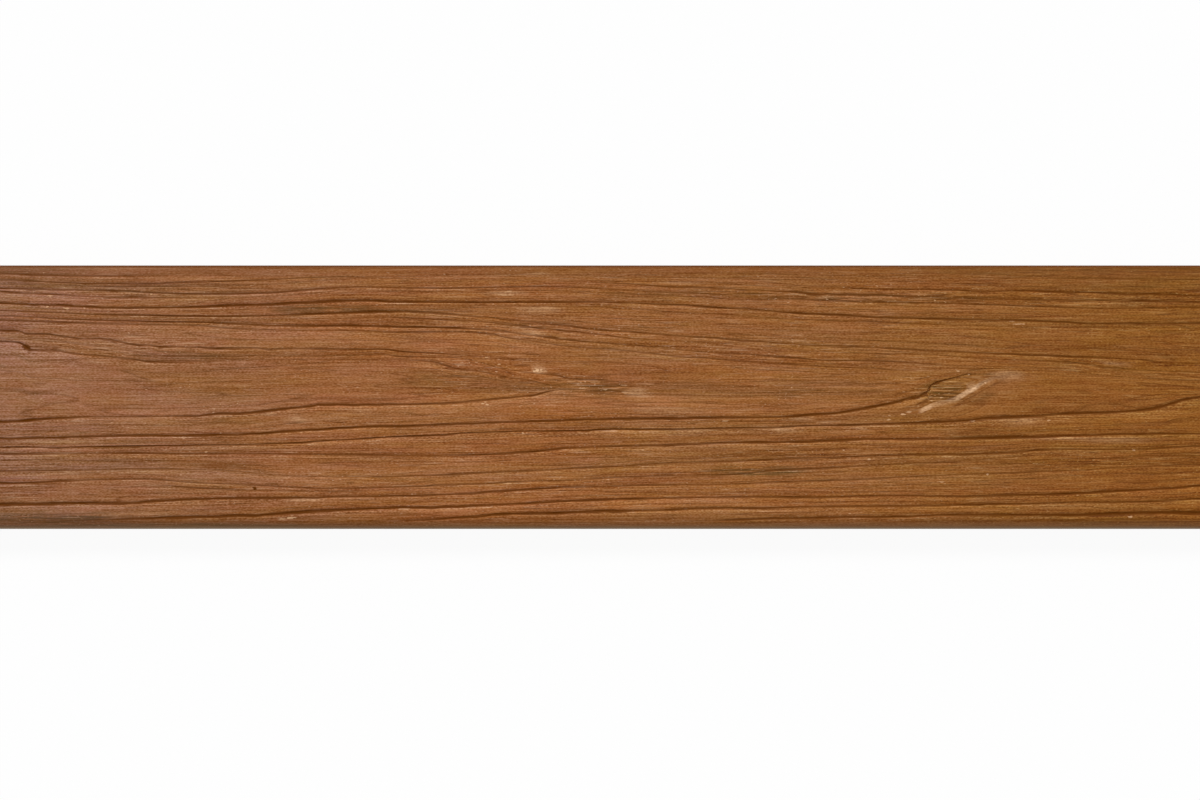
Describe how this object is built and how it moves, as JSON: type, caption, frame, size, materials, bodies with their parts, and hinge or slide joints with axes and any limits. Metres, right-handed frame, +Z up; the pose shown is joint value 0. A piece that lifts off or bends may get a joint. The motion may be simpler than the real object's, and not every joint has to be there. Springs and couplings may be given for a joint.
{
  "type": "composite decking board",
  "caption": "Solid wood-plastic composite deck board with square-sawn ends, rounded long edges and a face pressed with wood grain, laid flat across joists.",
  "frame": {"origin": "middle of the flat underside, where the board bears on its joists, half way along its length and width", "axes": "+X along the board's length and grain, +Y across its width, +Z up out of the walking face"},
  "size_m": [3.658, 0.14, 0.024],
  "materials": {
    "embossed_composite": "matte"
  },
  "bodies": {
    "root": {"deck_board": "embossed_composite"}
  },
  "joints": []
}
